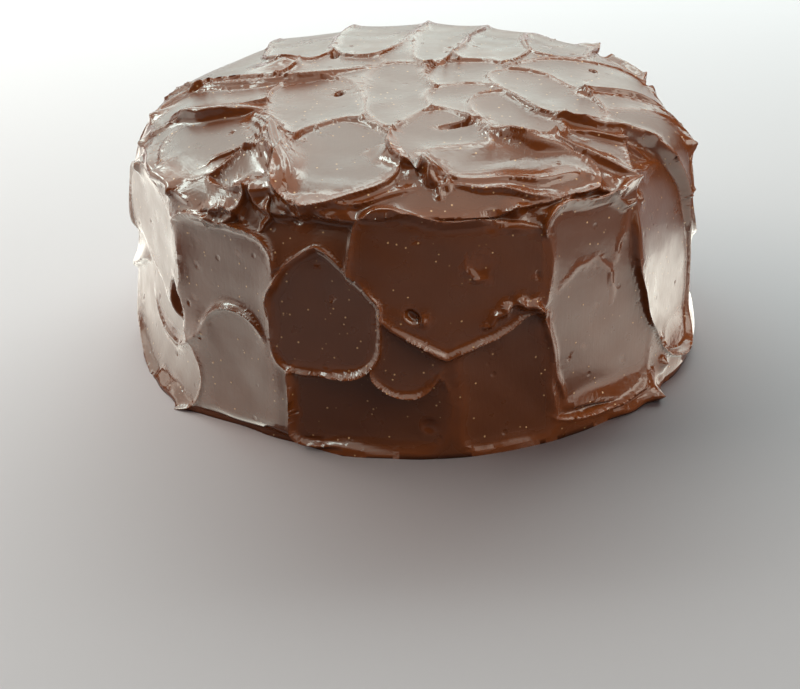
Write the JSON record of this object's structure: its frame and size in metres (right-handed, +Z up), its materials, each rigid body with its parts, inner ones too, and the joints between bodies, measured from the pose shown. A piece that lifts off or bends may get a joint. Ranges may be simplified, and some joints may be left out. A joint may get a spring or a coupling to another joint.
{
  "type": "chocolate frosted layer cake",
  "caption": "Round uncut layer cake covered all over in glossy dark chocolate frosting, spread by spatula into scoops, rolls and peaks; stands on its flat base and is cut into slices to serve.",
  "frame": {"origin": "middle of the flat base that the cake stands on", "axes": "+Z up, the side that the picture shows towards -Y, +X to the right of that side"},
  "size_m": [0.2457, 0.2432, 0.1145],
  "materials": {
    "frosting": "glossy dark chocolate frosting, smooth in the scoops, with fine spatula lines, air pits and specks"
  },
  "bodies": {
    "root": {"frosted_cake": "frosting"}
  },
  "joints": []
}
